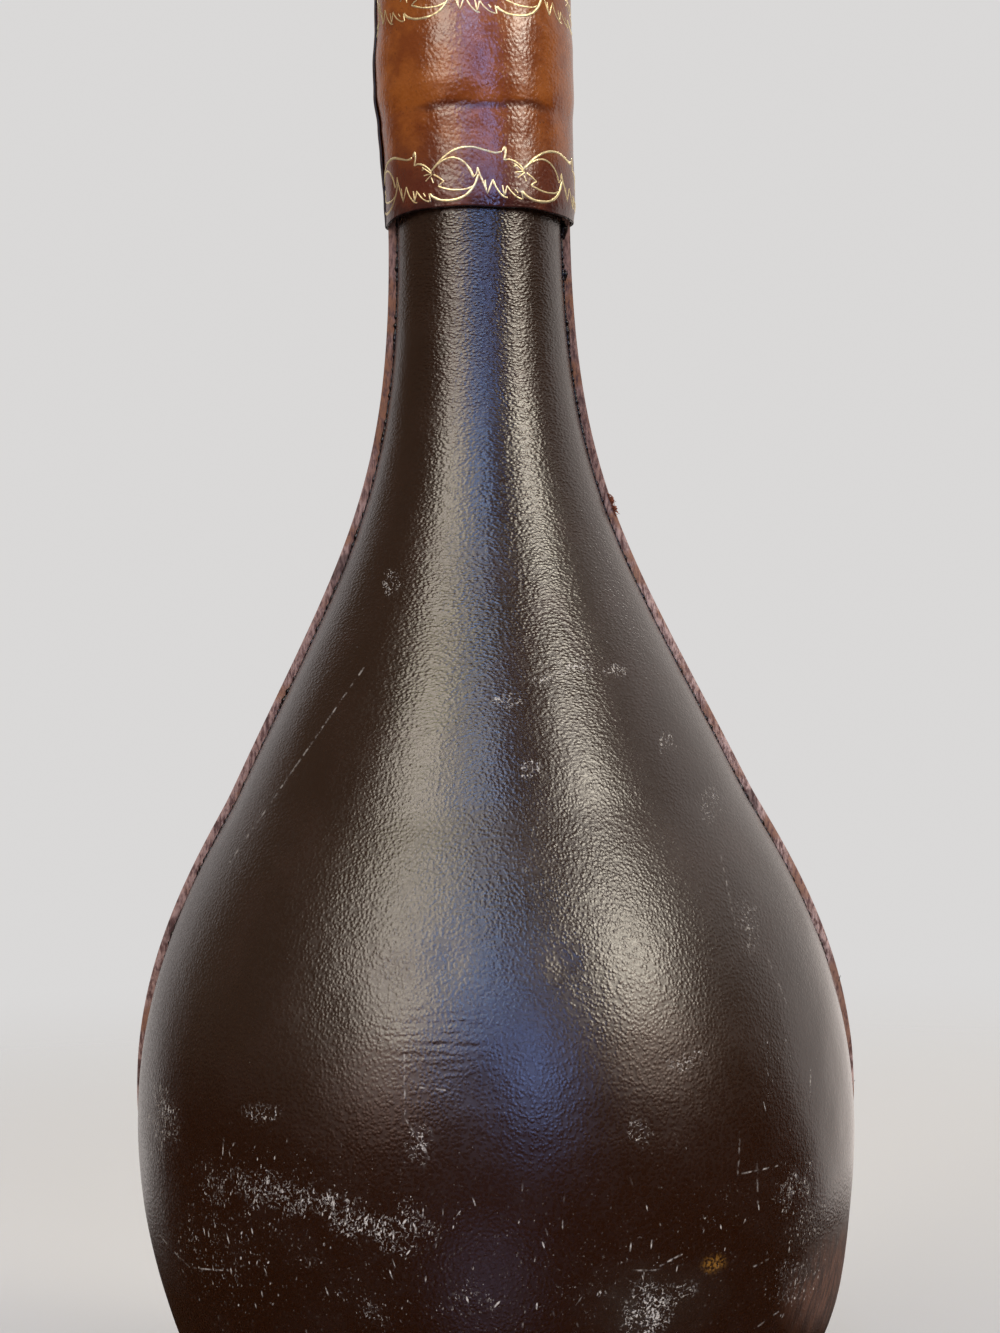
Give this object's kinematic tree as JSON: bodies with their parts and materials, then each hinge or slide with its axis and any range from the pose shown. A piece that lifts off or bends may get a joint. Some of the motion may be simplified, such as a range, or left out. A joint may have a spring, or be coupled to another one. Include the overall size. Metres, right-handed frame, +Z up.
{
  "type": "leather-wrapped decanter",
  "caption": "Pear-shaped glass decanter dressed in moulded leather panels lapped at the sides, with a gilt leather collar on the neck, a covered foot and a lift-out cork stopper.",
  "frame": {"origin": "middle of the foot, on the surface that the decanter stands on", "axes": "+Z up along the bottle's axis; -Y is the plain dark back that the picture shows; the panels lap at -X and +X"},
  "size_m": [0.133, 0.1296, 0.3089],
  "materials": {
    "glass": "clear greenish bottle glass",
    "dark_leather": "very dark brown pebbled leather, satin, scuffed low down",
    "tan_leather": "chestnut leather, satin, raw reddish cut edges",
    "collar_leather": "thin glossy cognac leather with gilt scroll bands",
    "board": "grey-brown pressed board",
    "base_leather": "dark brown sole leather, matt",
    "cork": "natural cork",
    "dowel_wood": "plain beech",
    "washer_leather": "dark leather, matt",
    "turned_wood": "plain turned wood",
    "stopper_leather": "cognac leather, satin",
    "stopper_top_leather": "very dark brown pebbled leather, satin"
  },
  "bodies": {
    "bottle": {"glass_bottle": "glass", "back_panel": "dark_leather", "front_panel": "tan_leather", "neck_collar": "collar_leather", "base_filler": "board", "base_disc": "base_leather"},
    "stopper": {"stopper_cork": "cork", "stopper_dowel": "dowel_wood", "stopper_washer": "washer_leather", "stopper_core": "turned_wood", "stopper_side_band": "stopper_leather", "stopper_top_disc": "stopper_top_leather"}
  },
  "joints": [
    {"name": "stopper_lift", "type": "slide", "parent": "bottle", "child": "stopper", "axis": [0, 0, 1], "range_m": [0, 0.06]}
  ]
}
